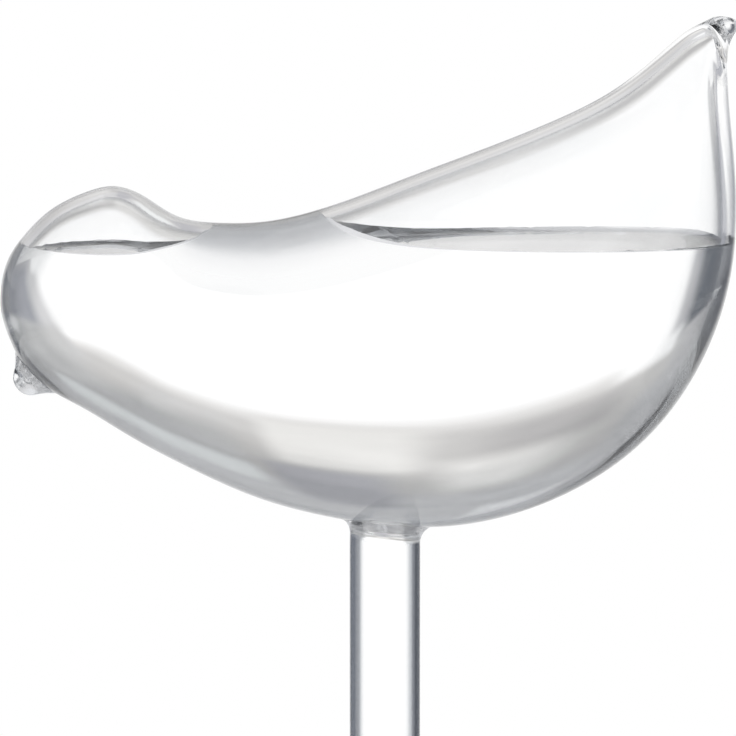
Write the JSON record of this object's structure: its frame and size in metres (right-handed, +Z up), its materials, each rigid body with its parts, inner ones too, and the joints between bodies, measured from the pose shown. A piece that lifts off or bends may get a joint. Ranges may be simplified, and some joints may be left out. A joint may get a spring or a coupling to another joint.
{
  "type": "watering globe",
  "caption": "Clear blown-glass bird on a hollow glass stem; filled with water and pushed into potting soil, it waters the plant as the soil dries.",
  "frame": {"origin": "on the stem's axis, at its open lower end", "axes": "+Z up the stem towards the bird, -X towards the beak, +X towards the tail, Y across the bird"},
  "size_m": [0.0828, 0.036, 0.1577],
  "materials": {
    "blown_glass": "clear, fire-polished, faintly wavy",
    "solid_glass": "clear, fire-polished, solid",
    "tube_glass": "clear, drawn, with faint lengthwise draw lines",
    "water": "clear water"
  },
  "bodies": {
    "root": {"bird_bulb": "blown_glass", "tail_bead": "solid_glass", "beak_drop": "solid_glass", "weld_collar": "solid_glass", "stem_tube": "tube_glass", "water_charge": "water"}
  },
  "joints": []
}
